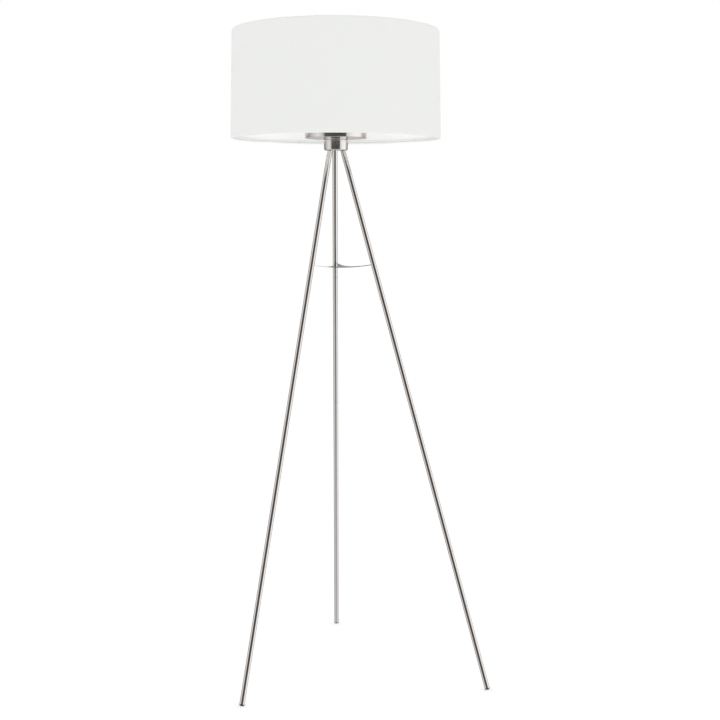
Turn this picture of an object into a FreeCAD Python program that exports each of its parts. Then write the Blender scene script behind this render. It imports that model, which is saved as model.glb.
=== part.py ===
"""Tripod floor lamp with a drum shade, as separate pieces.

Sizes are in millimetres.  +Z is up and Z = 0 is the floor.  The origin is the point on the
floor straight below the axis that the hub, cover disc, lampholder, bulb and shade share.
Each piece is written as its own STEP file in parts/.
"""
import FreeCAD
import Part
import math
import os

Vector = FreeCAD.Vector
UP = Vector(0, 0, 1)

# ---------------------------------------------------------------- driving dimensions

# Shade: fabric on a stiff lining, rolled round a wire ring at each rim.
SHADE_BOTTOM_Z = 1324.0
SHADE_HEIGHT = 249.0
SHADE_BOTTOM_R = 250.0
SHADE_TOP_R = 244.5
FABRIC_T = 0.6
LINING_T = 0.5
WIRE_R = 1.6
HEM_R = 2.3
HEM_TURN_IN = 9.0
HEM_STRIP_T = 0.5
SEAM_WIDTH = 14.0
SEAM_AZIMUTH = 112.0

# Legs: three straight tubes on one circle.  The circle on the floor is a little to one side
# of the lamp's axis, so the tripod stands slightly off true.
LEG_AZIMUTHS = {"back": 98.0, "left": 218.0, "right": 338.0}
FOOT_CIRCLE_R = 344.0
FOOT_CIRCLE_X = 46.2
FOOT_CIRCLE_Y = 3.8
LEG_CIRCLE_R = 18.0
TUBE_R = 6.25
TUBE_WALL = 1.0
UPPER_TUBE_LENGTH = 316.0
SECTION_LENGTH = 341.0
TUBE_IN_HUB = 8.0
JOINT_GAP = 0.2
EDGE_BREAK = 0.35

# Spreader: a thin dished star between the three tubes.
SPREADER_Z = 1027.0
SPREADER_T = 1.5
SPREADER_TIP_WIDTH = 6.0
SPREADER_WAIST = 27.0
SPREADER_DISH = 8.0

# Hub: a cup, a little narrower at its foot, with a leg block inside and a lid on top.
HUB_R = 29.2
HUB_FOOT_R = 28.4
HUB_BOTTOM_Z = 1297.0
HUB_CUP_TOP_Z = 1322.6
HUB_WALL = 2.0
HUB_FLOOR = 2.5
HUB_EDGE_R = 3.4
HUB_LIP_R = 1.2
LID_BOTTOM_Z = 1323.2
LID_SPIGOT = 1.5
LID_EDGE_R = 0.4
LEG_BLOCK_T = 9.0
SCREW_CIRCLE_R = 20.0
SCREW_R = 2.0
GLAND_Z = 1314.0
GLAND_AZIMUTH = 90.0
GLAND_BORE_R = 3.3
GLAND_BODY_R = 4.5
GLAND_FLANGE_R = 6.0
GLAND_FLANGE_T = 1.5

# Cover disc: a shallow pan, a little wider at its top, level with the shade's lower rim.
DISC_BOTTOM_Z = 1325.5
DISC_FOOT_R = 73.2
DISC_R = 75.0
DISC_HEIGHT = 15.0
DISC_FLOOR = 1.5
DISC_WALL = 1.2

# Hollow threaded rod that clamps lid, disc and lampholder together.
NIPPLE_R = 5.0
NIPPLE_BORE_R = 3.5
NIPPLE_BOTTOM_Z = 1315.5
NIPPLE_TOP_Z = 1341.0
NUT_T = 3.0
NUT_FLATS = 14.0
WASHER_T = 1.0

# Lampholder for a 27 mm screw cap.
HOLDER_R = 21.5
HOLDER_WALL = 2.0
HOLDER_CAP_BOTTOM_Z = 1331.2
HOLDER_SHELL_BOTTOM_Z = 1346.0
SHOULDER_Z = 1359.5
SHOULDER_R = 24.0
SHOULDER_T = 3.0
RING_THREAD_R = 19.6
RING_THREAD_PITCH = 2.5
HOLDER_TOP_Z = 1384.0
HOLDER_MOUTH_R = 15.4
CORE_R = 17.3
THREAD_SHELL_IN_R = 13.6
THREAD_SHELL_T = 0.5

# Pieces that clamp the shade on the lampholder, with the play between them.
PLAY = 0.3
FITTER_T = 2.0
FITTER_IN_R = 21.0
FITTER_OUT_R = 27.0
SPOKE_R = 1.5
SPOKE_BEND_R = 10.0
SPOKE_AZIMUTHS = (90.0, 210.0, 330.0)
SHADE_WASHER_T = 0.8
RING_NUT_HEIGHT = 8.0
RING_NUT_OUT_R = 26.5
RING_NUT_RIBS = 30

# Bulb: pear shape, 60 mm across, with a 27 mm screw cap.
BULB_TIP_Z = 1358.0
BULB_LENGTH = 108.5
BULB_R = 30.0
BULB_CAP_R = 13.1
BULB_CAP_PITCH = 3.629
BULB_GLASS_T = 1.0

# Foot plugs.
PLUG_HEAD_R = 6.0
PLUG_HEAD_T = 3.0
PLUG_EDGE_R = 1.5
PLUG_STEM_LENGTH = 12.0
PLUG_PRESS = 0.4

# ---------------------------------------------------------------- worked-out dimensions

SHADE_TOP_Z = SHADE_BOTTOM_Z + SHADE_HEIGHT
SHADE_SLOPE = (SHADE_BOTTOM_R - SHADE_TOP_R) / SHADE_HEIGHT
LINING_FACE = FABRIC_T + LINING_T
TUBE_IN_R = TUBE_R - TUBE_WALL
FITTER_Z = SHOULDER_Z + PLAY
SHADE_WASHER_Z = FITTER_Z + FITTER_T + PLAY
RING_NUT_Z = SHADE_WASHER_Z + SHADE_WASHER_T + PLAY
DISC_FLOOR_TOP_Z = DISC_BOTTOM_Z + DISC_FLOOR
LEG_BLOCK_Z = HUB_BOTTOM_Z + HUB_FLOOR
SPIGOT_Z = LID_BOTTOM_Z - LID_SPIGOT


# ---------------------------------------------------------------- geometry helpers

def polar(radius, azimuth, z=0.0):
    """Point at a radius and an azimuth in degrees round the lamp's axis."""
    angle = math.radians(azimuth)
    return Vector(radius * math.cos(angle), radius * math.sin(angle), z)


def section_face(points):
    """Flat face in the XZ plane from a closed outline of (radius, z) points."""
    outline = [Vector(r, 0, z) for r, z in points]
    return Part.Face(Part.makePolygon(outline + outline[:1]))


def turned(points):
    """Solid of revolution about Z from a closed outline of (radius, z) points."""
    return section_face(points).revolve(Vector(0, 0, 0), UP, 360)


def ring(r_in, r_out, z, height):
    """Plain round ring or washer standing on z."""
    return turned([(r_in, z), (r_out, z), (r_out, z + height), (r_in, z + height)])


def rod(radius, start, end):
    """Solid round bar between two points."""
    line = end - start
    return Part.makeCylinder(radius, line.Length, start, line)


def hexagon(across_flats, z, height, bore_r):
    """Hexagon nut on the lamp's axis."""
    corner_r = across_flats / math.sqrt(3)
    corners = [polar(corner_r, 60 * i, z) for i in range(6)]
    face = Part.Face(Part.makePolygon(corners + corners[:1]))
    nut = face.extrude(UP * height)
    bevel = turned([(0, z - 1), (corner_r - 0.2, z - 1), (corner_r + 0.8, z + height / 2),
                    (corner_r - 0.2, z + height + 1), (0, z + height + 1)])
    return nut.common(bevel).cut(rod(bore_r, Vector(0, 0, z - 1), Vector(0, 0, z + height + 1)))


def stand_along(shape, start, direction):
    """Move a shape built up the Z axis so that it starts at a point and runs along a line."""
    placed = shape.copy()
    placed.Placement = FreeCAD.Placement(start, FreeCAD.Rotation(UP, direction))
    return placed


def rounded(shape, radius, keep):
    """Fillet the edges for which keep(edge) is true."""
    return shape.makeFillet(radius, [edge for edge in shape.Edges if keep(edge)])


def circle_at(radius, z):
    """Test for a full circle of one radius at one height, for use with rounded()."""
    def keep(edge):
        curve = edge.Curve
        is_circle = isinstance(curve, Part.Circle)
        return is_circle and abs(curve.Radius - radius) < 0.01 and abs(curve.Center.z - z) < 0.01
    return keep


# ---------------------------------------------------------------- legs

class Leg:
    """Axis of one leg, from its seat in the hub down to its foot."""

    def __init__(self, azimuth):
        self.azimuth = azimuth
        self.hub = polar(LEG_CIRCLE_R, azimuth, HUB_BOTTOM_Z)
        self.foot = polar(FOOT_CIRCLE_R, azimuth) + Vector(FOOT_CIRCLE_X, FOOT_CIRCLE_Y, 0)
        self.down = (self.foot - self.hub).normalize()
        self.length = (self.foot - self.hub).Length

    def at(self, distance):
        """Point on the axis at a distance below the underside of the hub."""
        return self.hub + self.down * distance

    def at_height(self, z):
        """Point on the axis at one height."""
        return self.at((HUB_BOTTOM_Z - z) / -self.down.z)

    def tube_end(self):
        """Distance at which the lowest tube ends, so that its plug presses on the floor."""
        lean_sin = math.hypot(self.down.x, self.down.y)
        lean_cos = -self.down.z
        reach = (PLUG_HEAD_R - PLUG_EDGE_R) * lean_sin + PLUG_EDGE_R - PLUG_PRESS
        return self.length - (PLUG_HEAD_T - PLUG_EDGE_R + reach / lean_cos)


def leg_tube(start, end):
    """Tube with its outer end edges broken."""
    length = (end - start).Length
    shape = turned([(TUBE_IN_R, 0), (TUBE_R - EDGE_BREAK, 0), (TUBE_R, EDGE_BREAK),
                    (TUBE_R, length - EDGE_BREAK), (TUBE_R - EDGE_BREAK, length),
                    (TUBE_IN_R, length)])
    return stand_along(shape, start, end - start)


def leg_joint(leg, distance):
    """Bush in the tube above a joint and stud fixed in the tube below it."""
    fit_r = TUBE_IN_R - 0.05
    thread_r = 4.0
    depth = 16.0
    bush = turned([(thread_r + 0.05, 0), (fit_r, 0), (fit_r, depth), (thread_r + 0.05, depth)])
    bush = stand_along(bush, leg.at(distance - 0.1), leg.down * -1)
    stud = turned([(0, 0.5 - depth), (fit_r, 0.5 - depth), (fit_r, 0), (thread_r, 0),
                   (thread_r, depth - 3), (thread_r - 1, depth - 2), (0, depth - 2)])
    stud = stand_along(stud, leg.at(distance + 0.1), leg.down * -1)
    return bush, stud


def foot_plug(leg):
    """Plug with a stem in the tube and a rounded head, flattened where it stands."""
    plug = turned([(0, -PLUG_STEM_LENGTH), (TUBE_IN_R - 0.6, -PLUG_STEM_LENGTH),
                   (TUBE_IN_R - 0.05, 1 - PLUG_STEM_LENGTH), (TUBE_IN_R - 0.05, 0),
                   (PLUG_HEAD_R, 0), (PLUG_HEAD_R, PLUG_HEAD_T), (0, PLUG_HEAD_T)])
    plug = rounded(plug, PLUG_EDGE_R, circle_at(PLUG_HEAD_R, PLUG_HEAD_T))
    plug = stand_along(plug, leg.at(leg.tube_end()), leg.down)
    below_floor = Part.makeBox(100, 100, 20, leg.foot - Vector(50, 50, 20))
    return plug.cut(below_floor)


def make_legs(parts):
    """Upper tubes, three screw-on sections a leg, their joints and the foot plugs."""
    bushes = []
    studs = []
    for name, azimuth in LEG_AZIMUTHS.items():
        leg = Leg(azimuth)
        joints = [UPPER_TUBE_LENGTH + SECTION_LENGTH * i for i in range(3)]
        starts = [-TUBE_IN_HUB] + [d + JOINT_GAP / 2 for d in joints]
        ends = [d - JOINT_GAP / 2 for d in joints] + [leg.tube_end()]
        names = ["upper_tube_" + name] + [f"leg_{name}_section_{i}" for i in (1, 2, 3)]
        for node, start, end in zip(names, starts, ends):
            parts[node] = leg_tube(leg.at(start), leg.at(end))
        for distance in joints:
            bush, stud = leg_joint(leg, distance)
            bushes.append(bush)
            studs.append(stud)
        parts["foot_plug_" + name] = foot_plug(leg)
    parts["leg_joint_bushes"] = Part.makeCompound(bushes)
    parts["leg_joint_studs"] = Part.makeCompound(studs)


def make_spreader(parts):
    """Star with three hollow sides, cut from a shallow dished sheet."""
    legs = [Leg(azimuth) for azimuth in LEG_AZIMUTHS.values()]
    seats = [leg.at_height(SPREADER_Z) for leg in legs]
    centre = (seats[0] + seats[1] + seats[2]) * (1 / 3)
    reach = (seats[0] - centre).Length
    half_tip = SPREADER_TIP_WIDTH / 2
    edges = []
    for azimuth in LEG_AZIMUTHS.values():
        across = polar(half_tip, azimuth + 90)
        tip = centre + polar(reach, azimuth)
        next_tip = centre + polar(reach, azimuth + 120)
        next_across = polar(half_tip, azimuth + 210)
        middle = centre + polar(SPREADER_WAIST, azimuth + 60)
        edges.append(Part.LineSegment(tip - across, tip + across).toShape())
        edges.append(Part.Arc(tip + across, middle, next_tip - next_across).toShape())
    outline = Part.Face(Part.Wire(Part.__sortEdges__(edges)))
    star = outline.extrude(UP * 40)
    star.translate(UP * -20)
    dish_r = (reach ** 2 + SPREADER_DISH ** 2) / (2 * SPREADER_DISH)
    bowl_centre = centre + UP * (dish_r - SPREADER_DISH)
    sheet = Part.makeSphere(dish_r + SPREADER_T / 2, bowl_centre)
    sheet = sheet.cut(Part.makeSphere(dish_r - SPREADER_T / 2, bowl_centre))
    spreader = star.common(sheet)
    for leg in legs:
        spreader = spreader.cut(rod(TUBE_R + 0.02, leg.at(0), leg.at(400)))
    parts["leg_spreader"] = spreader


# ---------------------------------------------------------------- hub and cover disc

def hub_radius(z):
    """Outer radius of the hub's drafted wall at one height."""
    slope = (HUB_R - HUB_FOOT_R) / (HUB_CUP_TOP_Z - HUB_BOTTOM_Z)
    return HUB_FOOT_R + slope * (z - HUB_BOTTOM_Z)


def make_hub(parts):
    """Cup, leg block, lid, screws and the bush that a mains lead enters through."""
    legs = [Leg(azimuth) for azimuth in LEG_AZIMUTHS.values()]
    in_r = HUB_FOOT_R - HUB_WALL
    cup = turned([(0, HUB_BOTTOM_Z), (HUB_FOOT_R, HUB_BOTTOM_Z), (HUB_R, HUB_CUP_TOP_Z),
                  (in_r, HUB_CUP_TOP_Z), (in_r, LEG_BLOCK_Z), (0, LEG_BLOCK_Z)])
    cup = rounded(cup, HUB_EDGE_R, circle_at(HUB_FOOT_R, HUB_BOTTOM_Z))
    cup = rounded(cup, HUB_LIP_R, circle_at(HUB_R, HUB_CUP_TOP_Z))
    block = turned([(0, LEG_BLOCK_Z), (in_r - 0.1, LEG_BLOCK_Z),
                    (in_r - 0.1, LEG_BLOCK_Z + LEG_BLOCK_T), (0, LEG_BLOCK_Z + LEG_BLOCK_T)])
    for leg in legs:
        cup = cup.cut(rod(TUBE_R + 0.25, leg.at(-6), leg.at(6)))
        block = block.cut(rod(TUBE_R, leg.at(-TUBE_IN_HUB), leg.at(10)))

    lid_r = hub_radius(LID_BOTTOM_Z)
    lid = turned([(NIPPLE_R, SPIGOT_Z), (in_r - 0.1, SPIGOT_Z), (in_r - 0.1, LID_BOTTOM_Z),
                  (lid_r, LID_BOTTOM_Z), (hub_radius(DISC_BOTTOM_Z), DISC_BOTTOM_Z),
                  (NIPPLE_R, DISC_BOTTOM_Z)])
    lid = rounded(lid, LID_EDGE_R, circle_at(lid_r, LID_BOTTOM_Z))
    screws = []
    for azimuth in LEG_AZIMUTHS.values():
        low = polar(SCREW_CIRCLE_R, azimuth + 60, LEG_BLOCK_Z + 1.5)
        head = Vector(low.x, low.y, DISC_BOTTOM_Z - 0.1)
        screw = rod(SCREW_R, low, head)
        screw = screw.fuse(Part.makeCone(SCREW_R, 2 * SCREW_R, 2.2, head - UP * 2.2)).removeSplitter()
        slot = Part.makeBox(6, 0.8, 0.9, head - Vector(3, 0.4, 0.8))
        screws.append(screw.cut(slot))
        opening = rod(SCREW_R + 0.1, low, head + UP)
        opening = opening.fuse(Part.makeCone(SCREW_R + 0.1, 2 * SCREW_R + 0.2, 2.4, head - UP * 2.3))
        lid = lid.cut(opening)
        block = block.cut(rod(SCREW_R, low, head))

    outward = polar(1, GLAND_AZIMUTH)
    wall_r = hub_radius(GLAND_Z + GLAND_FLANGE_R)
    mouth = polar(wall_r + GLAND_FLANGE_T, GLAND_AZIMUTH, GLAND_Z)
    throat = polar(in_r - GLAND_FLANGE_T - 0.5, GLAND_AZIMUTH, GLAND_Z)
    gland_length = (mouth - throat).Length
    gland = turned([(GLAND_BORE_R, 0), (GLAND_FLANGE_R - 0.8, 0), (GLAND_FLANGE_R - 0.8, 1.2),
                    (GLAND_BODY_R, 1.2), (GLAND_BODY_R, gland_length - GLAND_FLANGE_T),
                    (GLAND_FLANGE_R, gland_length - GLAND_FLANGE_T),
                    (GLAND_FLANGE_R, gland_length), (GLAND_BORE_R, gland_length)])
    gland = rounded(gland, 0.6, circle_at(GLAND_FLANGE_R, gland_length))
    gland = stand_along(gland, throat, outward)
    cup = cup.cut(rod(GLAND_BODY_R, throat, mouth))

    parts["hub_cup"] = cup
    parts["leg_block"] = block
    parts["hub_lid"] = lid
    parts["hub_lid_screws"] = Part.makeCompound(screws)
    parts["cord_gland"] = gland


def make_earth_screw(parts):
    """Earth screw with a cup washer on the leg block, opposite the gland."""
    seat = polar(13, GLAND_AZIMUTH + 180, LEG_BLOCK_Z + LEG_BLOCK_T)
    washer = Part.makeCylinder(4, 0.8, seat).cut(Part.makeCylinder(1.9, 0.8, seat))
    screw = Part.makeCylinder(1.9, 7, seat - UP * 5)
    head = Part.makeCylinder(3.4, 2.2, seat + UP * 0.8)
    slot = Part.makeBox(8, 0.8, 1, seat + Vector(-4, -0.4, 2.1))
    screw = screw.fuse(head).removeSplitter().cut(slot)
    parts["leg_block"] = parts["leg_block"].cut(Part.makeCylinder(1.9, 7, seat - UP * 5))
    parts["earth_screw"] = screw.cut(washer)
    parts["earth_washer"] = washer


def make_disc(parts):
    """Shallow pan with drafted sides, a rounded foot and a rolled edge."""
    top_z = DISC_BOTTOM_Z + DISC_HEIGHT
    slope = (DISC_R - DISC_FOOT_R) / DISC_HEIGHT
    foot_in_r = DISC_FOOT_R + slope * DISC_FLOOR - DISC_WALL
    pan = turned([(NIPPLE_R + 0.2, DISC_BOTTOM_Z), (DISC_FOOT_R, DISC_BOTTOM_Z), (DISC_R, top_z),
                  (DISC_R - DISC_WALL, top_z), (foot_in_r, DISC_FLOOR_TOP_Z),
                  (NIPPLE_R + 0.2, DISC_FLOOR_TOP_Z)])
    pan = rounded(pan, 1.2, circle_at(DISC_FOOT_R, DISC_BOTTOM_Z))
    pan = rounded(pan, 0.5, circle_at(DISC_R, top_z))
    parts["cover_disc"] = pan


def make_nipple(parts):
    """Hollow threaded rod, its two nuts and the washer on the cover disc."""
    crest = NIPPLE_R
    bevel = 0.6
    parts["nipple"] = turned([(NIPPLE_BORE_R, NIPPLE_BOTTOM_Z), (crest - bevel, NIPPLE_BOTTOM_Z),
                              (crest, NIPPLE_BOTTOM_Z + bevel), (crest, NIPPLE_TOP_Z - bevel),
                              (crest - bevel, NIPPLE_TOP_Z), (NIPPLE_BORE_R, NIPPLE_TOP_Z)])
    lower = hexagon(NUT_FLATS, SPIGOT_Z - NUT_T, NUT_T, NIPPLE_R)
    upper = hexagon(NUT_FLATS, DISC_FLOOR_TOP_Z + WASHER_T, NUT_T, NIPPLE_R)
    parts["nipple_nuts"] = Part.makeCompound([lower, upper])
    parts["nipple_washer"] = ring(NIPPLE_R + 0.2, 10, DISC_FLOOR_TOP_Z, WASHER_T)


# ---------------------------------------------------------------- lampholder

def make_holder(parts):
    """Cap, outer shell with a shoulder and ring thread, core, contacts and screw sleeve."""
    bottom = HOLDER_CAP_BOTTOM_Z
    joint = HOLDER_SHELL_BOTTOM_Z
    wall = HOLDER_WALL
    cap = turned([(NIPPLE_R, bottom), (9.5, bottom), (11, bottom + 1), (12, bottom + 5),
                  (HOLDER_R - 3, bottom + 8), (HOLDER_R, bottom + 11.5), (HOLDER_R, joint),
                  (HOLDER_R - wall, joint), (HOLDER_R - wall, bottom + 12.3),
                  (HOLDER_R - 4.5, bottom + 10), (NIPPLE_R, bottom + 8)])
    parts["holder_cap"] = cap

    shoulder_low = SHOULDER_Z - SHOULDER_T
    in_r = CORE_R + 0.2
    thread = []
    z = SHOULDER_Z + 1.0
    while z + RING_THREAD_PITCH < HOLDER_TOP_Z - 1:
        thread += [(RING_THREAD_R - 0.7, z), (RING_THREAD_R, z + 0.7), (RING_THREAD_R, z + 1.4),
                   (RING_THREAD_R - 0.7, z + 2.1)]
        z += RING_THREAD_PITCH
    shell = turned([(HOLDER_R - wall, joint), (HOLDER_R, joint), (HOLDER_R, shoulder_low),
                    (SHOULDER_R - 0.5, shoulder_low), (SHOULDER_R, shoulder_low + 0.5),
                    (SHOULDER_R, SHOULDER_Z - 0.5), (SHOULDER_R - 0.5, SHOULDER_Z),
                    (RING_THREAD_R - 0.7, SHOULDER_Z)] + thread +
                   [(RING_THREAD_R - 0.7, HOLDER_TOP_Z - 0.6), (RING_THREAD_R - 1.3, HOLDER_TOP_Z),
                    (HOLDER_MOUTH_R + 0.5, HOLDER_TOP_Z), (HOLDER_MOUTH_R, HOLDER_TOP_Z - 0.5),
                    (HOLDER_MOUTH_R, HOLDER_TOP_Z - 2.5), (in_r, HOLDER_TOP_Z - 2.5),
                    (in_r, joint)])
    parts["holder_shell"] = shell

    core_z = joint + 1
    core_top = BULB_TIP_Z - 4.5
    core = turned([(0, core_z), (CORE_R, core_z), (CORE_R, core_top), (0, core_top)])
    wire_ways = [polar(10, azimuth, core_z) for azimuth in (60, 240)]
    screw_seats = [polar(10, azimuth, core_z) for azimuth in (0, 180)]
    for seat in wire_ways:
        core = core.cut(Part.makeCylinder(1.8, 20, seat))
    screws = []
    for seat in screw_seats:
        core = core.cut(Part.makeCylinder(1.5, 4, seat))
        screw = Part.makeCylinder(1.5, 4.9, seat - UP * 0.9)
        head = Part.makeCylinder(2.6, 1.8, seat - UP * 1.8)
        slot = Part.makeBox(6, 0.6, 0.8, seat - Vector(3, 0.3, 1.9))
        screws.append(screw.fuse(head).removeSplitter().cut(slot))
    parts["holder_core"] = core
    parts["holder_terminal_screws"] = Part.makeCompound(screws)

    sleeve_z = core_top
    r_in = THREAD_SHELL_IN_R
    r_out = r_in + THREAD_SHELL_T
    parts["holder_screw_sleeve"] = turned([
        (r_in, sleeve_z), (CORE_R - 1, sleeve_z), (CORE_R - 1, sleeve_z + 0.6),
        (r_out, sleeve_z + 0.6), (r_out, HOLDER_TOP_Z - 4), (r_in, HOLDER_TOP_Z - 4)])
    tongue_top = BULB_TIP_Z - PLAY
    foot = Part.makeBox(9, 5, 0.6, Vector(-9, -2.5, core_top))
    riser = Part.makeBox(0.6, 5, tongue_top - core_top, Vector(-6, -2.5, core_top))
    tongue = Part.makeBox(9.5, 5, 0.6, Vector(-6, -2.5, tongue_top - 0.6))
    parts["holder_centre_contact"] = foot.fuse(riser).fuse(tongue).removeSplitter()


def make_shade_clamp(parts):
    """Loose washer and ribbed ring nut that hold the shade down on the shoulder."""
    parts["shade_washer"] = ring(RING_THREAD_R + PLAY, RING_NUT_OUT_R - 1,
                                 SHADE_WASHER_Z, SHADE_WASHER_T)
    top = RING_NUT_Z + RING_NUT_HEIGHT
    in_r = RING_THREAD_R + PLAY
    skirt_r = RING_NUT_OUT_R - 2.5
    nut = turned([(in_r, RING_NUT_Z), (RING_NUT_OUT_R, RING_NUT_Z),
                  (RING_NUT_OUT_R, RING_NUT_Z + 1.6), (skirt_r + 0.8, RING_NUT_Z + 2.4),
                  (skirt_r, top - 0.8), (skirt_r - 0.8, top), (in_r + 0.6, top),
                  (in_r, top - 0.6)])
    groove_z = RING_NUT_Z + 2.6
    for i in range(RING_NUT_RIBS):
        spot = polar(skirt_r + 0.9, 360 * i / RING_NUT_RIBS, groove_z)
        nut = nut.cut(Part.makeCylinder(1.3, RING_NUT_HEIGHT, spot))
    parts["ring_nut"] = nut


# ---------------------------------------------------------------- bulb

def make_bulb(parts):
    """Contact tip, insulator, ridged screw cap, neck, opal globe and light plate."""
    tip = BULB_TIP_Z
    contact = turned([(0, tip), (3.2, tip), (4.4, tip + 0.8), (4.4, tip + 1.8), (0, tip + 1.8)])
    parts["bulb_contact"] = contact
    cap_z = tip + 5.5
    parts["bulb_insulator"] = turned([(0, tip + 2.1), (5.2, tip + 2.1), (7.5, tip + 2.4),
                                      (12, cap_z), (0, cap_z)])
    neck_z = tip + 27
    outline = [(0, cap_z), (12, cap_z)]
    z = cap_z + 1.5
    while z + BULB_CAP_PITCH < neck_z - 3:
        outline += [(BULB_CAP_R - 1.1, z), (BULB_CAP_R - 0.3, z + 0.6), (BULB_CAP_R, z + 1.3),
                    (BULB_CAP_R - 0.3, z + 2.0), (BULB_CAP_R - 1.1, z + 2.8)]
        z += BULB_CAP_PITCH
    outline += [(BULB_CAP_R - 0.6, neck_z - 2), (BULB_CAP_R - 0.2, neck_z), (0, neck_z)]
    parts["bulb_cap"] = turned(outline)

    globe_centre = tip + BULB_LENGTH - BULB_R
    rim_z = tip + 58
    rim_r = math.sqrt(BULB_R ** 2 - (globe_centre - rim_z) ** 2)
    neck = Part.Wire([
        Part.LineSegment(Vector(0, 0, neck_z), Vector(14, 0, neck_z)).toShape(),
        Part.LineSegment(Vector(14, 0, neck_z), Vector(14, 0, neck_z + 4)).toShape(),
        Part.Arc(Vector(14, 0, neck_z + 4), Vector(rim_r - 7.3, 0, rim_z - 14),
                 Vector(rim_r, 0, rim_z)).toShape(),
        Part.LineSegment(Vector(rim_r, 0, rim_z), Vector(0, 0, rim_z)).toShape(),
        Part.LineSegment(Vector(0, 0, rim_z), Vector(0, 0, neck_z)).toShape()])
    parts["bulb_neck"] = Part.Face(neck).revolve(Vector(0, 0, 0), UP, 360)

    centre = Vector(0, 0, globe_centre)
    globe = Part.makeSphere(BULB_R, centre).cut(Part.makeSphere(BULB_R - BULB_GLASS_T, centre))
    below = rod(BULB_R * 2, Vector(0, 0, rim_z - 60), Vector(0, 0, rim_z))
    parts["bulb_globe"] = globe.cut(below)
    parts["bulb_light_plate"] = ring(0.8, rim_r - 3, rim_z, 1.6)


# ---------------------------------------------------------------- shade

def shade_radius(z):
    """Outer radius of the fabric at one height."""
    return SHADE_BOTTOM_R - SHADE_SLOPE * (z - SHADE_BOTTOM_Z)


def shade_layer(depth, thickness):
    """Conical shell of the shade between the rolled hems, at a depth inside its outer face."""
    inset = HEM_R * (1 + math.tan(math.pi / 8))
    low = SHADE_BOTTOM_Z + inset
    high = SHADE_TOP_Z - inset
    return turned([(shade_radius(low) - depth - thickness, low), (shade_radius(low) - depth, low),
                   (shade_radius(high) - depth, high),
                   (shade_radius(high) - depth - thickness, high)])


def octagon(r, z, flat):
    """Outline of an octagon about (r, z) with its flats at one distance from there."""
    corner = flat / math.cos(math.pi / 8)
    angles = [math.pi / 8 + math.pi / 4 * i for i in range(8)]
    return [(r + corner * math.cos(a), z + corner * math.sin(a)) for a in angles]


def hem_section(ring_r, centre_z, strip_end):
    """Face of a hem: cloth rolled round its wire, with its end turned in against the lining."""
    low, high = sorted((centre_z, strip_end))
    low_r = shade_radius(low) - LINING_FACE
    high_r = shade_radius(high) - LINING_FACE
    strip = section_face([(low_r - HEM_STRIP_T, low), (low_r, low), (high_r, high),
                          (high_r - HEM_STRIP_T, high)])
    roll = section_face(octagon(ring_r, centre_z, HEM_R))
    wire_way = section_face(octagon(ring_r, centre_z, WIRE_R))
    return roll.fuse(strip).removeSplitter().cut(wire_way).Faces[0]


def make_shade(parts):
    """Fabric, lining, wire rings, rolled hems, glued seam and the spoked fitter."""
    fabric = shade_layer(0, FABRIC_T)
    lining = shade_layer(FABRIC_T, LINING_T)
    hems = {}
    for name, rim_z, inward in (("bottom", SHADE_BOTTOM_Z, 1), ("top", SHADE_TOP_Z, -1)):
        centre_z = rim_z + inward * HEM_R
        ring_r = shade_radius(centre_z) - HEM_R
        roll = turned(octagon(ring_r, centre_z, HEM_R))
        section = hem_section(ring_r, centre_z, rim_z + inward * (HEM_R + HEM_TURN_IN))
        hems[name] = section.revolve(Vector(0, 0, 0), UP, 360)
        fabric = fabric.cut(roll)
        lining = lining.cut(roll)
        wire = Part.makeTorus(ring_r, WIRE_R, Vector(0, 0, centre_z))
        parts["shade_wire_ring_" + name] = wire

    ring_r = shade_radius(SHADE_BOTTOM_Z + HEM_R) - HEM_R
    drop_r = ring_r - WIRE_R - SPOKE_R + 0.1
    level = FITTER_Z + FITTER_T / 2
    end_z = SHADE_BOTTOM_Z + HEM_R
    fitter = ring(FITTER_IN_R, FITTER_OUT_R, FITTER_Z, FITTER_T)
    for number, azimuth in enumerate(SPOKE_AZIMUTHS, start=1):
        bend_start = polar(drop_r - SPOKE_BEND_R, azimuth, level)
        bend_centre = bend_start - UP * SPOKE_BEND_R
        circle = Part.Face(Part.Wire(Part.makeCircle(SPOKE_R, bend_start, polar(1, azimuth))))
        bend = circle.revolve(bend_centre, polar(1, azimuth + 90), 90)
        reach = rod(SPOKE_R, polar(FITTER_OUT_R - 0.8, azimuth, level), bend_start)
        drop = rod(SPOKE_R, polar(drop_r, azimuth, level - SPOKE_BEND_R), polar(drop_r, azimuth, end_z))
        spoke = reach.fuse(bend).fuse(drop).removeSplitter()
        parts[f"fitter_spoke_{number}"] = spoke.cut(fitter).cut(parts["shade_wire_ring_bottom"])
        notch = rod(SPOKE_R + 0.1, polar(drop_r, azimuth, level - SPOKE_BEND_R),
                    polar(drop_r, azimuth, end_z - SPOKE_R))
        hems["bottom"] = hems["bottom"].cut(notch)
    parts["fitter_ring"] = fitter

    low = SHADE_BOTTOM_Z + 2 * HEM_R
    high = SHADE_TOP_Z - 2 * HEM_R
    half_angle = math.degrees(SEAM_WIDTH / 2 / SHADE_BOTTOM_R)
    section = Part.Face(Part.makePolygon([
        Vector(shade_radius(low), 0, low), Vector(shade_radius(low) + FABRIC_T, 0, low),
        Vector(shade_radius(high) + FABRIC_T, 0, high), Vector(shade_radius(high), 0, high),
        Vector(shade_radius(low), 0, low)]))
    section.rotate(Vector(0, 0, 0), UP, SEAM_AZIMUTH - half_angle)
    parts["shade_seam"] = section.revolve(Vector(0, 0, 0), UP, 2 * half_angle)
    parts["shade_fabric"] = fabric
    parts["shade_lining"] = lining
    parts["shade_hem_bottom"] = hems["bottom"]
    parts["shade_hem_top"] = hems["top"]


# ---------------------------------------------------------------- whole lamp

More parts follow.
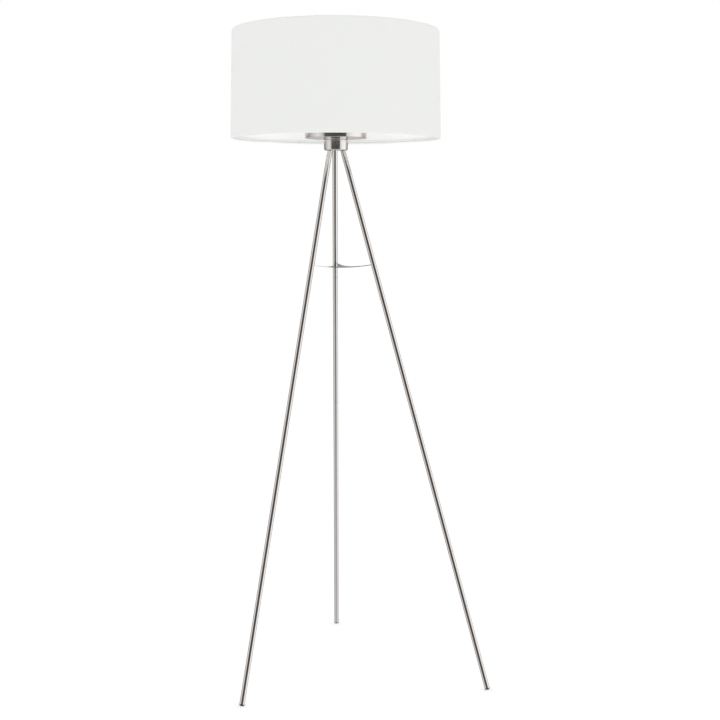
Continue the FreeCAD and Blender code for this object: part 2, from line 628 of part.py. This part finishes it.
def main():
    parts = {}
    make_legs(parts)
    make_spreader(parts)
    make_hub(parts)
    make_earth_screw(parts)
    make_disc(parts)
    make_nipple(parts)
    make_holder(parts)
    make_shade_clamp(parts)
    make_bulb(parts)
    make_shade(parts)
    os.makedirs("parts", exist_ok=True)
    for node, shape in parts.items():
        solids = shape.Solids
        if not shape.isValid() or not solids:
            raise ValueError(node + " is not a valid solid")
        piece = solids[0] if len(solids) == 1 else Part.makeCompound(solids)
        piece.exportStep("parts/" + node + ".step")
        print(f"{node:26s} {len(solids)} solid(s) {shape.Volume / 1000:9.2f} cm3")


main()
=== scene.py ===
"""Looks of the tripod floor lamp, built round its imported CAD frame.

Lengths are in metres, +Z is up, and Z = 0 is the floor.  The hub, cover disc, lampholder, bulb
and shade share the vertical axis through the origin.
"""

import math

import bpy
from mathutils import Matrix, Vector


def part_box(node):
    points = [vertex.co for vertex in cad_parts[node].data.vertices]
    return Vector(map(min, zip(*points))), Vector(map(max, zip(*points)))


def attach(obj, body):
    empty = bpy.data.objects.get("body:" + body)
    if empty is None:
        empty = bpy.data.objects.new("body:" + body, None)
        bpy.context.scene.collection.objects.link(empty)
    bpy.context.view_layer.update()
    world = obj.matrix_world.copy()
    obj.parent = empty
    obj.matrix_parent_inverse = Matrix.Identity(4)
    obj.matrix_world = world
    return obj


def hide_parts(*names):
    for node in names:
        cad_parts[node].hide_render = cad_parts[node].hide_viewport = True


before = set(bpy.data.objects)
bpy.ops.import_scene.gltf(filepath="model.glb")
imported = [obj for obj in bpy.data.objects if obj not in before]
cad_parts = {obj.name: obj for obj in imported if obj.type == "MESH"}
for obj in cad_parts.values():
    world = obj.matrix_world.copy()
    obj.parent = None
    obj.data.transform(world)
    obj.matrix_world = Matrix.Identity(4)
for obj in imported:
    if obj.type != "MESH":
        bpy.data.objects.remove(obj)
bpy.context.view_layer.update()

MM = 0.001
TURN = 2 * math.pi


# ---------------------------------------------------------------- sizes read from the frame

def outer_radius(node):
    """Radius of a round node on the lamp's axis."""
    low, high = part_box(node)
    return (high.x - low.x) / 2


def heights(node):
    """Lowest and highest z of a node."""
    low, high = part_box(node)
    return low.z, high.z


def middle(node):
    """Middle of a node's box."""
    low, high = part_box(node)
    return (low + high) / 2


RIM_LOW = middle("shade_wire_ring_bottom").z
RIM_HIGH = middle("shade_wire_ring_top").z
HEM_R = RIM_LOW - heights("shade_hem_bottom")[0]
RIM_LOW_R = outer_radius("shade_hem_bottom")
RIM_HIGH_R = outer_radius("shade_hem_top")
SHADE_SLOPE = (RIM_LOW_R - RIM_HIGH_R) / (RIM_HIGH - RIM_LOW)

# ---------------------------------------------------------------- driving values of the pieces

# The cloth goes round the wire at each rim, by the angle HEM_WRAP, and then up the inside of the
# lining as a strip of height TURN_IN.  The lining's inner face is LINING_FACE inward from the
# cloth's outer face.
CLOTH_T = 0.55 * MM
LINING_FACE = 1.1 * MM
TURN_IN = 5 * MM
STRIP_STEPS = 6
# Where the strip leaves the lining for the rolled hem: (further depth, height above the hem).
STRIP_FOOT = ((0.06 * MM, 1.6 * MM), (0.35 * MM, 0.75 * MM), (0.85 * MM, 0.2 * MM))
HEM_WRAP = math.radians(250)
HEM_STEPS = 18

# The seam: its lapped end is lifted by SEAM_STEP over a width of SEAM_RISE.
SEAM_AZIMUTH = math.radians(112)
SEAM_LAP = 14 * MM
SEAM_STEP = 0.62 * MM
SEAM_RISE = 3 * MM
SEAM_STEPS = 4

CLOTH_COLUMNS = 400
CLOTH_ROWS = 24
CLOTH_WAVE = 0.12 * MM

# Widths of one warp and one weft thread of the weave.
WARP = 0.62 * MM
WEFT = 0.7 * MM

THREAD_COLUMNS = 96
THREAD_ROWS_PER_TURN = 10

# Lampholder shell, in millimetres: the body under the flange that carries the shade's ring, the
# threaded part above it, and the hollow inside.
SHELL_BODY_R = 21.5
SHELL_FLANGE_R = 24.0
SHELL_FLANGE_T = 3.0
SHELL_ROOT_R = 18.9
SHELL_BORE_R = 17.5
SHELL_MOUTH_R = 15.4
SHELL_MOUTH_T = 2.5
SHELL_CHAMFER = 0.5
SHELL_PITCH = 2.5
SHELL_THREAD_DEPTH = 0.7
SHELL_THREAD_SQUARENESS = 1.9
RING_PLAY = 0.3

# Bulb cap, in millimetres.  Its middle is left open, because a turned outline can't reach the
# axis.
CAP_ROOT_R = 12.0
CAP_RIM_R = 12.9
CAP_MIDDLE_R = 0.5
CAP_PITCH = 3.629
CAP_THREAD_DEPTH = 1.1
CAP_THREAD_SQUARENESS = 1.0

# ---------------------------------------------------------------- driving values of the stage

CAMERA_LENS = 58.7
CAMERA_SENSOR = 36.0
CAMERA_PLACE = (0.0, -2.847, 1.162)
CAMERA_PITCH = math.radians(90 - 7.4)
CAMERA_PAN = -0.0202

# Brightness of the studio round the lamp as its metal reflects it, by azimuth in degrees from
# the camera: dark behind the camera, a soft box each side, the brighter one on the right.
STUDIO = ((-180, 0.56), (-160, 0.5), (-148, 0.34), (-122, 0.43), (-99, 0.8), (-71, 1.14),
          (-50, 0.84), (-41, 0.12), (-8, 0.09), (37, 0.1), (43, 1.04), (64, 1.32), (88, 1.48),
          (104, 1.3), (117, 0.72), (134, 0.42), (150, 0.38), (160, 0.5), (180, 0.56))
# A colour ramp holds brightness as a share of this, because its colours end at 1.
STUDIO_FULL = 2.0
# Heights here are sines of the angle above the horizon.  Over STEEP_HEIGHT, up or down, the
# studio gives way to OPEN_SKY.
OPEN_SKY = 0.75
STEEP_HEIGHT = (0.35, 0.9)
# The wall behind the lamp gets darker above the horizon.  Its azimuth is in radians.
BACK_WALL_SHADE = 0.45
BACK_WALL_AZIMUTH = (2.5, 2.8)
BACK_WALL_HEIGHT = (0.08, 0.16)
# Matt surfaces are lit by SOFT_LIGHT from low down and by SOFT_CEILING from straight above.
SOFT_LIGHT = 1.22
SOFT_CEILING = 0.5
SOFT_HEIGHT = (0.3, 0.95)

FLOOR_REACH = 12.0
FLOOR_TONES = (0.93, 0.95)
FLOOR_CLOUDS = 3.0
FLOOR_GLOW = 0.28

# The key light comes from the right, and a weak one below the shade brightens its inside.
KEY_PLACE = (1.9, -2.2, 0.9)
KEY_SIDE = 1.4
KEY_WATTS = 1.0
BELOW_PLACE = (0, 0, RIM_LOW - 30 * MM)
BELOW_SIDE = 0.33
BELOW_WATTS = 0.31

# ---------------------------------------------------------------- driving values of the finishes

# Scales of noise, per metre.
NICKEL_GROOVES = 3600
NICKEL_DRIFT = 60
NICKEL_SMUDGES = 38.0
PATCHES = 60.0
LAMINATE_CLOUDS = 14.0
LAMINATE_GRAIN = 240.0
WARP_SLUBS = (1100.0, 26.0)
WEFT_SLUBS = (22.0, 1000.0)

# Darker and lighter tone of the white plastics.
WARM_WHITE = ((0.78, 0.775, 0.755), (0.83, 0.825, 0.805))
CLOTH_TRANSLUCENCE = 0.12
LAMINATE_TRANSLUCENCE = 0.1


# ---------------------------------------------------------------- camera, stage and light

def make_camera():
    """Camera in front of the lamp, a little below its hub and tilted down."""
    data = bpy.data.cameras.new("camera")
    data.lens = CAMERA_LENS
    data.sensor_width = CAMERA_SENSOR
    camera = bpy.data.objects.new("camera", data)
    camera.location = CAMERA_PLACE
    camera.rotation_euler = (CAMERA_PITCH, 0, CAMERA_PAN)
    bpy.context.scene.collection.objects.link(camera)
    bpy.context.scene.camera = camera


class Tree:
    """Shorthand for adding and joining the nodes of one node tree."""

    def __init__(self, tree):
        self.tree = tree
        tree.nodes.clear()

    def add(self, kind, inputs=None, **settings):
        """New node; inputs maps a socket's name or number to a value or to another socket."""
        node = self.tree.nodes.new("ShaderNode" + kind)
        for name, value in settings.items():
            setattr(node, name, value)
        for name, value in (inputs or {}).items():
            if isinstance(value, bpy.types.NodeSocket):
                self.tree.links.new(value, node.inputs[name])
            else:
                node.inputs[name].default_value = value
        return node

    def math(self, operation, *values):
        inputs = dict(enumerate(values))
        return self.add("Math", inputs, operation=operation).outputs[0]

    def vector(self, operation, *values):
        inputs = dict(enumerate(values))
        return self.add("VectorMath", inputs, operation=operation).outputs[0]

    def coordinate(self, name):
        return self.add("TexCoord").outputs[name]

    def noise(self, vector, scale, detail=2.0, roughness=0.5):
        inputs = {"Vector": vector, "Scale": scale, "Detail": detail, "Roughness": roughness}
        return self.add("TexNoise", inputs).outputs["Fac"]

    def spread(self, value, low, high):
        """Map a 0 to 1 value to the range from low to high."""
        inputs = {"Value": value, "To Min": low, "To Max": high}
        return self.add("MapRange", inputs).outputs[0]

    def fade(self, value, span, low=0.0, high=1.0, **settings):
        """Map the span of a value to the range from low to high."""
        inputs = {"Value": value, "From Min": span[0], "From Max": span[1],
                  "To Min": low, "To Max": high}
        return self.add("MapRange", inputs, **settings).outputs[0]

    def blend(self, share, first, second):
        """First of two numbers where share is 0, and second where it is 1."""
        inputs = {0: share, 2: first, 3: second}
        return self.add("Mix", inputs, data_type="FLOAT").outputs[0]

    def combine(self, x=0.0, y=0.0, z=0.0):
        """Vector of three numbers."""
        return self.add("CombineXYZ", {"X": x, "Y": y, "Z": z}).outputs[0]

    def join(self, source, node, name):
        self.tree.links.new(source, node.inputs[name])

    def tint(self, value, dark, light):
        """Colour between two by a 0 to 1 value."""
        # The node keeps its colour sockets after those for numbers and vectors.
        inputs = {0: value, 6: (*dark, 1), 7: (*light, 1)}
        return self.add("Mix", inputs, data_type="RGBA").outputs[2]

    def bump(self, height, distance):
        inputs = {"Height": height, "Distance": distance, "Strength": 1.0}
        return self.add("Bump", inputs).outputs[0]


def make_world():
    """White to the camera, evenly bright to matt surfaces, and the studio to glossy ones."""
    world = bpy.data.worlds.new("studio")
    world.use_nodes = True
    world.cycles.sampling_method = "NONE"
    bpy.context.scene.world = world
    tree = Tree(world.node_tree)
    axes = tree.add("SeparateXYZ", {0: tree.coordinate("Generated")})
    toward_camera = tree.math("MULTIPLY", axes.outputs["Y"], -1.0)
    azimuth = tree.math("ARCTAN2", axes.outputs["X"], toward_camera)
    place = tree.math("MULTIPLY_ADD", azimuth, 1 / TURN, 0.5)
    ramp = tree.add("ValToRGB", {0: place})
    stops = ramp.color_ramp.elements
    while len(stops) < len(STUDIO):
        stops.new(0.5)
    for stop, (degrees, level) in zip(stops, STUDIO):
        stop.position = degrees / 360 + 0.5
        share = level / STUDIO_FULL
        stop.color = (share, share, share, 1)
    around = tree.math("MULTIPLY", ramp.outputs["Color"], STUDIO_FULL)
    behind = tree.fade(tree.math("ABSOLUTE", azimuth), BACK_WALL_AZIMUTH)
    above = tree.fade(axes.outputs["Z"], BACK_WALL_HEIGHT)
    wall_top = tree.math("MULTIPLY", tree.math("MULTIPLY", behind, above), BACK_WALL_SHADE)
    around = tree.math("SUBTRACT", around, tree.math("MULTIPLY", around, wall_top))
    height = tree.math("ABSOLUTE", axes.outputs["Z"])
    steep = tree.fade(height, STEEP_HEIGHT, interpolation_type="SMOOTHSTEP")
    studio = tree.blend(steep, around, OPEN_SKY)
    soft = tree.fade(axes.outputs["Z"], SOFT_HEIGHT, SOFT_LIGHT, SOFT_CEILING)
    path = tree.add("LightPath")
    lit = tree.blend(path.outputs["Is Glossy Ray"], soft, studio)
    shown = tree.blend(path.outputs["Is Camera Ray"], lit, 1.0)
    background = tree.add("Background", {"Color": (1, 1, 1, 1), "Strength": shown})
    tree.add("OutputWorld", {"Surface": background.outputs[0]})


def make_floor():
    """Plain pale floor, kept out of glossy reflections so that the metal shows the studio."""
    mesh = bpy.data.meshes.new("floor")
    corners = [(x * FLOOR_REACH, y * FLOOR_REACH, 0)
               for x, y in ((-1, -1), (1, -1), (1, 1), (-1, 1))]
    mesh.from_pydata(corners, [], [(0, 1, 2, 3)])
    floor = bpy.data.objects.new("floor", mesh)
    bpy.context.scene.collection.objects.link(floor)
    floor.visible_glossy = False
    material = bpy.data.materials.new("floor_paper")
    material.use_nodes = True
    tree = Tree(material.node_tree)
    paper = tree.spread(tree.noise(tree.coordinate("Object"), FLOOR_CLOUDS), *FLOOR_TONES)
    colour = tree.add("CombineColor", {0: paper, 1: paper, 2: paper}).outputs[0]
    surface = tree.add("BsdfDiffuse", {"Color": colour}).outputs[0]
    glow = tree.add("Emission", {"Color": (1, 1, 1, 1), "Strength": FLOOR_GLOW}).outputs[0]
    both = tree.add("AddShader", {0: surface, 1: glow}).outputs[0]
    tree.add("OutputMaterial", {"Surface": both})
    mesh.materials.append(material)


def make_light(name, place, side, watts):
    """Square soft light aimed at the shade, not seen by the camera or in the metal."""
    data = bpy.data.lights.new(name, "AREA")
    data.size = side
    data.energy = watts
    light = bpy.data.objects.new(name, data)
    light.location = place
    aim = Vector((0, 0, (RIM_LOW + RIM_HIGH) / 2)) - Vector(place)
    light.rotation_euler = aim.to_track_quat("-Z", "Y").to_euler()
    light.visible_glossy = False
    light.visible_camera = False
    bpy.context.scene.collection.objects.link(light)


# ---------------------------------------------------------------- materials

def finish(name, colour, roughness, **settings):
    """Material with one Principled shader; returns it, its node shorthand and the shader."""
    material = bpy.data.materials.new(name)
    material.use_nodes = True
    tree = Tree(material.node_tree)
    inputs = {"Base Color": (*colour, 1), "Roughness": roughness}
    inputs.update({key.replace("_", " "): value for key, value in settings.items()})
    shader = tree.add("BsdfPrincipled", inputs)
    tree.add("OutputMaterial", {"Surface": shader.outputs[0]})
    return material, tree, shader


def let_light_through(tree, shader, share, inputs):
    """Mix a share of translucency into the material of a Principled shader."""
    through = tree.add("BsdfTranslucent", inputs)
    both = tree.add("MixShader", {0: share, 1: shader.outputs[0], 2: through.outputs[0]})
    tree.join(both.outputs[0], tree.tree.get_output_node("ALL"), "Surface")


def brushed_nickel(name, axis=None):
    """Satin nickel with its grain round the lamp's own axis, or round a tube's axis."""
    material, tree, shader = finish(name, (0.645, 0.612, 0.59), 0.14, Metallic=1.0)
    place = tree.coordinate("Object")
    if axis:
        turn = axis.to_track_quat("Z", "Y").inverted().to_euler()
        place = tree.add("VectorRotate", {"Vector": place, "Rotation": turn},
                         rotation_type="EULER_XYZ").outputs[0]
        lines = tree.vector("MULTIPLY", place, (NICKEL_DRIFT, NICKEL_DRIFT, NICKEL_GROOVES))
    else:
        axes = tree.add("SeparateXYZ", {0: place})
        across = tree.vector("MULTIPLY", place, (1, 1, 0))
        radius = tree.add("VectorMath", {0: across}, operation="LENGTH").outputs["Value"]
        grooves = tree.combine(x=tree.math("MULTIPLY", radius, NICKEL_GROOVES),
                               z=tree.math("MULTIPLY", axes.outputs["Z"], NICKEL_GROOVES))
        drift = tree.vector("MULTIPLY", place, (NICKEL_DRIFT, NICKEL_DRIFT, 0))
        lines = tree.vector("ADD", grooves, drift)
    streaks = tree.noise(lines, 1.0, 3.0, 0.6)
    smudges = tree.noise(place, NICKEL_SMUDGES, 3.0)
    rough = tree.math("ADD", tree.spread(streaks, 0.08, 0.16), tree.spread(smudges, -0.02, 0.03))
    tree.join(rough, shader, "Roughness")
    colour = tree.tint(smudges, (0.625, 0.592, 0.57), (0.665, 0.634, 0.612))
    tree.join(colour, shader, "Base Color")
    tree.join(tree.bump(streaks, 0.004 * MM), shader, "Normal")
    return material


def grained(name, colours, roughness, grain, depth, **settings):
    """Moulded, cast or painted finish: two near tones, uneven gloss and a fine grain."""
    material, tree, shader = finish(name, colours[0], roughness[0], **settings)
    place = tree.coordinate("Object")
    patches = tree.noise(place, PATCHES, 3.0)
    tree.join(tree.tint(patches, *colours), shader, "Base Color")
    tree.join(tree.spread(patches, *roughness), shader, "Roughness")
    fine = tree.noise(place, 1 / grain, 2.0)
    tree.join(tree.bump(fine, depth), shader, "Normal")
    return material


def woven_cloth():
    """White plain weave with slubs, which lets some light through."""
    material, tree, shader = finish("white_cloth", (0.91, 0.92, 0.9), 0.85, IOR=1.45,
                                    Sheen_Weight=0.12, Specular_IOR_Level=0.2)
    flat = tree.add("SeparateXYZ", {0: tree.coordinate("UV")})
    across, along = flat.outputs["X"], flat.outputs["Y"]
    warp = tree.math("SINE", tree.math("MULTIPLY", across, TURN / WARP))
    weft = tree.math("SINE", tree.math("MULTIPLY", along, TURN / WEFT))
    over = tree.math("MULTIPLY", tree.math("SINE", tree.math("MULTIPLY", across, math.pi / WARP)),
                     tree.math("SINE", tree.math("MULTIPLY", along, math.pi / WEFT)))
    threads = tree.math("ADD", tree.math("MAXIMUM", warp, weft), over)
    upright, level = (tree.combine(x=tree.math("MULTIPLY", across, wide),
                                   y=tree.math("MULTIPLY", along, tall))
                      for wide, tall in (WARP_SLUBS, WEFT_SLUBS))
    slubs = tree.math("ADD", tree.noise(upright, 1.0, 1.0), tree.noise(level, 1.0, 1.0))
    slubs = tree.math("MULTIPLY", slubs, 0.5)
    colour = tree.tint(slubs, (0.885, 0.896, 0.878), (0.935, 0.945, 0.93))
    tree.join(colour, shader, "Base Color")
    height = tree.math("MULTIPLY_ADD", threads, 0.3, slubs)
    normal = tree.bump(height, 0.05 * MM)
    tree.join(normal, shader, "Normal")
    inputs = {"Color": colour, "Normal": normal}
    let_light_through(tree, shader, CLOTH_TRANSLUCENCE, inputs)
    return material


def laminate():
    """Milky plastic sheet that stiffens the shade."""
    material, tree, shader = finish("milky_laminate", (0.9, 0.905, 0.9), 0.4)
    place = tree.coordinate("Object")
    cloud = tree.noise(place, LAMINATE_CLOUDS, 3.0)
    colour = tree.tint(cloud, (0.935, 0.94, 0.935), (0.965, 0.968, 0.965))
    tree.join(colour, shader, "Base Color")
    tree.join(tree.spread(cloud, 0.34, 0.48), shader, "Roughness")
    tree.join(tree.bump(tree.noise(place, LAMINATE_GRAIN), 0.02 * MM), shader, "Normal")
    let_light_through(tree, shader, LAMINATE_TRANSLUCENCE, {"Color": colour})
    return material


def make_finishes():
    """One material for each material slot of the record; the tubes get their own later."""
    return {
        "satin_nickel": brushed_nickel("nickel_round"),
        "zinc_steel": grained("zinc", ((0.5, 0.5, 0.49), (0.62, 0.61, 0.6)), (0.28, 0.42),
                              0.4 * MM, 0.01 * MM, Metallic=1.0),
        "brass": grained("brass", ((0.7, 0.5, 0.24), (0.8, 0.6, 0.32)), (0.2, 0.34),
                         0.5 * MM, 0.01 * MM, Metallic=1.0),
        "black_rubber": grained("rubber", ((0.016, 0.016, 0.017), (0.03, 0.03, 0.031)),
                                (0.6, 0.75), 0.3 * MM, 0.03 * MM),
        "white_plastic": grained("moulded_white", WARM_WHITE, (0.3, 0.42),
                                 0.5 * MM, 0.01 * MM),
        "ceramic": grained("steatite", ((0.72, 0.7, 0.65), (0.8, 0.78, 0.73)), (0.35, 0.5),
                           0.6 * MM, 0.02 * MM),
        "black_glass": grained("bead_glass", ((0.012, 0.012, 0.02), (0.02, 0.02, 0.03)),
                               (0.08, 0.15), 1 * MM, 0.01 * MM),
        "cap_metal": grained("plated_cap", ((0.66, 0.64, 0.6), (0.74, 0.72, 0.68)),
                             (0.16, 0.28), 0.8 * MM, 0.008 * MM, Metallic=1.0),
        "bulb_plastic": grained("bulb_neck_white", WARM_WHITE, (0.35, 0.45),
                                0.4 * MM, 0.008 * MM),
        "opal_glass": grained("opal", ((0.86, 0.86, 0.85), (0.89, 0.89, 0.88)), (0.12, 0.2),
                              3 * MM, 0.004 * MM, Coat_Weight=0.3),
        "light_plate": grained("plate_white", WARM_WHITE, (0.4, 0.5), 0.5 * MM, 0.01 * MM),
        "white_fabric": woven_cloth(),
        "white_laminate": laminate(),
        "white_enamel": grained("enamel", ((0.8, 0.8, 0.79), (0.85, 0.85, 0.84)), (0.2, 0.32),
                                1.2 * MM, 0.02 * MM),
    }


def dress_nodes(finishes):
    """Give every CAD node its finish by the slot it was packed with."""
    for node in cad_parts.values():
        slot = node.data.materials[0].name.split(".")[0]
        node.data.materials[0] = finishes[slot]
    for side in ("left", "right", "back"):
        tubes = ["upper_tube_" + side] + [f"leg_{side}_section_{i}" for i in (1, 2, 3)]
        grain = brushed_nickel("nickel_" + side, leg_direction(side))
        for name in tubes:
            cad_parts[name].data.materials[0] = grain


def leg_direction(side):
    """Direction down one leg, from the middles of its highest and lowest tubes."""
    return (middle(f"leg_{side}_section_3") - middle("upper_tube_" + side)).normalized()


# ---------------------------------------------------------------- pieces

def make_piece(name, points, faces, material, body, sharp=35):
    """Mesh object with smooth shading, riding on a body."""
    mesh = bpy.data.meshes.new(name)
    mesh.from_pydata(points, [], faces)
    mesh.polygons.foreach_set("use_smooth", [True] * len(mesh.polygons))
    mesh.set_sharp_from_angle(angle=math.radians(sharp))
    mesh.materials.append(material)
    piece = bpy.data.objects.new(name, mesh)
    bpy.context.scene.collection.objects.link(piece)
    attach(piece, body)
    return piece


def smooth_step(value):
    value = min(max(value, 0.0), 1.0)
    return value * value * (3 - 2 * value)


def hem_path(upward):
    """Outer face of a hem as (depth, height): from its turned-in end round the wire.

    Depth is measured inward from the cloth's outer face, and height from the wire's middle,
    towards the middle of the shade.  upward is 1 at the lower rim and -1 at the upper one.
    """
    inner = LINING_FACE + CLOTH_T
    path = [(inner, HEM_R + TURN_IN * step / STRIP_STEPS) for step in range(STRIP_STEPS, 1, -1)]
    path += [(inner + depth, HEM_R + height) for depth, height in STRIP_FOOT]
    for step in range(HEM_STEPS, -1, -1):
        angle = -HEM_WRAP * step / HEM_STEPS
        path.append((HEM_R - HEM_R * math.cos(angle), HEM_R * math.sin(angle)))
    return [(depth, upward * height) for depth, height in path]


def drum_profile():
    """Outer face of the cloth as (radius, z), from inside the lower rim to inside the upper."""
    def place(depth, height, rim):
        z = rim + height
        return RIM_LOW_R - SHADE_SLOPE * (z - RIM_LOW) - depth, z
    lower = [place(*spot, RIM_LOW) for spot in hem_path(1)]
    upper = [place(*spot, RIM_HIGH) for spot in hem_path(-1)]
    rise = (RIM_HIGH - RIM_LOW) / CLOTH_ROWS
    wall = [place(0, rise * row, RIM_LOW) for row in range(1, CLOTH_ROWS)]
    return lower + wall + upper[::-1]


def lengths_along(path):
    """Distance along a path at each of its points."""
    total = [0.0]
    for (r0, z0), (r1, z1) in zip(path, path[1:]):
        total.append(total[-1] + math.hypot(r1 - r0, z1 - z0))
    return total


def cloth_wave(angle, z):
    """Slight unevenness of cloth that was glued to its lining and rolled by hand."""
    slow = math.sin(3 * angle + 0.7) + 0.6 * math.sin(7 * angle + 21 * z)
    quick = 0.35 * math.sin(23 * angle + 2.1) + 0.25 * math.sin(41 * angle - 55 * z)
    return CLOTH_WAVE * (slow + quick)


def make_drum_cloth(material):
    """One sheet of cloth round the drum, rolled round both wires, its ends lapped and glued."""
    profile = drum_profile()
    heights_up = lengths_along(profile)
    lap_angle = SEAM_LAP / RIM_LOW_R
    rise_angle = SEAM_RISE / RIM_LOW_R
    # Even columns round the drum, then close ones up the seam's step and across its lap.
    sweep = [TURN * step / CLOTH_COLUMNS for step in range(CLOTH_COLUMNS - 2)]
    sweep += [TURN - rise_angle * step / SEAM_STEPS for step in range(SEAM_STEPS, -1, -1)]
    sweep += [TURN + lap_angle * step / SEAM_STEPS for step in range(1, SEAM_STEPS + 1)]
    points = []
    for (radius, z) in profile:
        for along in sweep:
            angle = SEAM_AZIMUTH + along
            lift = SEAM_STEP * smooth_step((along - TURN + rise_angle) / rise_angle)
            reach = radius + lift + cloth_wave(angle, z)
            points.append((reach * math.cos(angle), reach * math.sin(angle), z))
    count = len(sweep)
    faces = [(row * count + i, row * count + i + 1, (row + 1) * count + i + 1,
              (row + 1) * count + i) for row in range(len(profile) - 1) for i in range(count - 1)]
    piece = make_piece("drum_cloth", points, faces, material, "shade")
    weave = piece.data.uv_layers.new(name="weave")
    for loop in piece.data.loops:
        row, column = divmod(loop.vertex_index, count)
        weave.data[loop.index].uv = (sweep[column] * RIM_LOW_R, heights_up[row])
    layer = piece.modifiers.new("thickness", "SOLIDIFY")
    layer.thickness = CLOTH_T
    layer.offset = -1
    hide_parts("shade_fabric", "shade_seam", "shade_hem_top", "shade_hem_bottom")


def screw_thread(low, high, pitch, depth, squareness):
    """Height of a right-hand thread as a function of (z, angle); it runs out at both ends."""
    def ridge(z, angle):
        wave = 0.5 + 0.5 * math.cos(TURN * ((z - low) / pitch - angle / TURN))
        shaped = min(max((wave - 0.5) * squareness + 0.5, 0.0), 1.0)
        run_out = min(z - low, high - z) / (pitch / 2)
        return depth * shaped * smooth_step(run_out)
    return ridge


def make_turned(node, outline, material, body, ridge):
    """Turned piece in place of a CAD node, from a closed outline of (radius, z, threaded).

    ridge gives the height of the thread that stands out from the outline where threaded is true.
    """
    points = []
    for radius, z, threaded in outline:
        for column in range(THREAD_COLUMNS):
            angle = TURN * column / THREAD_COLUMNS
            reach = radius + (ridge(z, angle) if threaded else 0)
            points.append((reach * math.cos(angle), reach * math.sin(angle), z))
    faces = []
    for row in range(len(outline)):
        above = (row + 1) % len(outline)
        for column in range(THREAD_COLUMNS):
            beside = (column + 1) % THREAD_COLUMNS
            faces.append((row * THREAD_COLUMNS + column, row * THREAD_COLUMNS + beside,
                          above * THREAD_COLUMNS + beside, above * THREAD_COLUMNS + column))
    piece = make_piece(node + "_turned", points, faces, material, body, sharp=50)
    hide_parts(node)


def plain(*spots):
    """Outline points without thread, from (radius, z) in millimetres."""
    return [(radius * MM, z * MM, False) for radius, z in spots]


def threaded_rows(radius, low, high, pitch):
    """Outline points up a thread's root, from measures in millimetres."""
    rows = round((high - low) / pitch * THREAD_ROWS_PER_TURN)
    return [(radius * MM, (low + (high - low) * row / rows) * MM, True)
            for row in range(rows + 1)]


def make_holder_shell(material):
    """Lampholder shell: shoulder for the shade's ring, and the thread for the ring nut."""
    bottom, top = (z / MM for z in heights("holder_shell"))
    shoulder = heights("fitter_ring")[0] / MM - RING_PLAY
    underside = shoulder - SHELL_FLANGE_T
    low, high = shoulder + 1, top - 1
    edge = SHELL_CHAMFER
    outline = plain(
        (SHELL_BODY_R - 0.3, bottom), (SHELL_BODY_R, bottom + 0.3),
        (SHELL_BODY_R, underside - 1.2), (SHELL_BODY_R + 0.4, underside - 0.3),
        (SHELL_FLANGE_R - edge, underside), (SHELL_FLANGE_R, underside + edge),
        (SHELL_FLANGE_R, shoulder - edge), (SHELL_FLANGE_R - edge, shoulder),
        (SHELL_ROOT_R + edge, shoulder), (SHELL_ROOT_R, shoulder + 0.6))
    outline += threaded_rows(SHELL_ROOT_R, low, high, SHELL_PITCH)
    outline += plain(
        (SHELL_ROOT_R - 0.2, top - edge), (SHELL_ROOT_R - 0.7, top),
        (SHELL_MOUTH_R + edge, top), (SHELL_MOUTH_R, top - edge),
        (SHELL_MOUTH_R, top - SHELL_MOUTH_T), (SHELL_BORE_R, top - SHELL_MOUTH_T),
        (SHELL_BORE_R, bottom + 0.2), (SHELL_BORE_R + 0.2, bottom))
    ridge = screw_thread(low * MM, high * MM, SHELL_PITCH * MM, SHELL_THREAD_DEPTH * MM,
                         SHELL_THREAD_SQUARENESS)
    make_turned("holder_shell", outline, material, "stand", ridge)


def make_bulb_cap(material):
    """Rolled screw cap of the bulb, with its rounded thread and the rim that holds the neck."""
    bottom, top = (z / MM for z in heights("bulb_cap"))
    low, high = bottom + 1, top - 2.4
    outline = plain((CAP_MIDDLE_R, bottom), (CAP_ROOT_R - 0.6, bottom),
                    (CAP_ROOT_R - 0.2, bottom + 0.3), (CAP_ROOT_R, bottom + 0.8))
    outline += threaded_rows(CAP_ROOT_R, low, high, CAP_PITCH)
    outline += plain((CAP_ROOT_R + 0.3, top - 2), (CAP_RIM_R, top - 1.6), (CAP_RIM_R, top - 0.3),
                     (CAP_RIM_R - 0.3, top), (CAP_MIDDLE_R, top))
    ridge = screw_thread(low * MM, high * MM, CAP_PITCH * MM, CAP_THREAD_DEPTH * MM,
                         CAP_THREAD_SQUARENESS)
    make_turned("bulb_cap", outline, material, "bulb", ridge)


bpy.context.scene.view_settings.view_transform = "Standard"
make_camera()
make_world()
make_floor()
make_light("key", KEY_PLACE, KEY_SIDE, KEY_WATTS)
make_light("below_shade", BELOW_PLACE, BELOW_SIDE, BELOW_WATTS)
finishes = make_finishes()
dress_nodes(finishes)
make_drum_cloth(finishes["white_fabric"])
make_holder_shell(finishes["white_plastic"])
make_bulb_cap(finishes["cap_metal"])
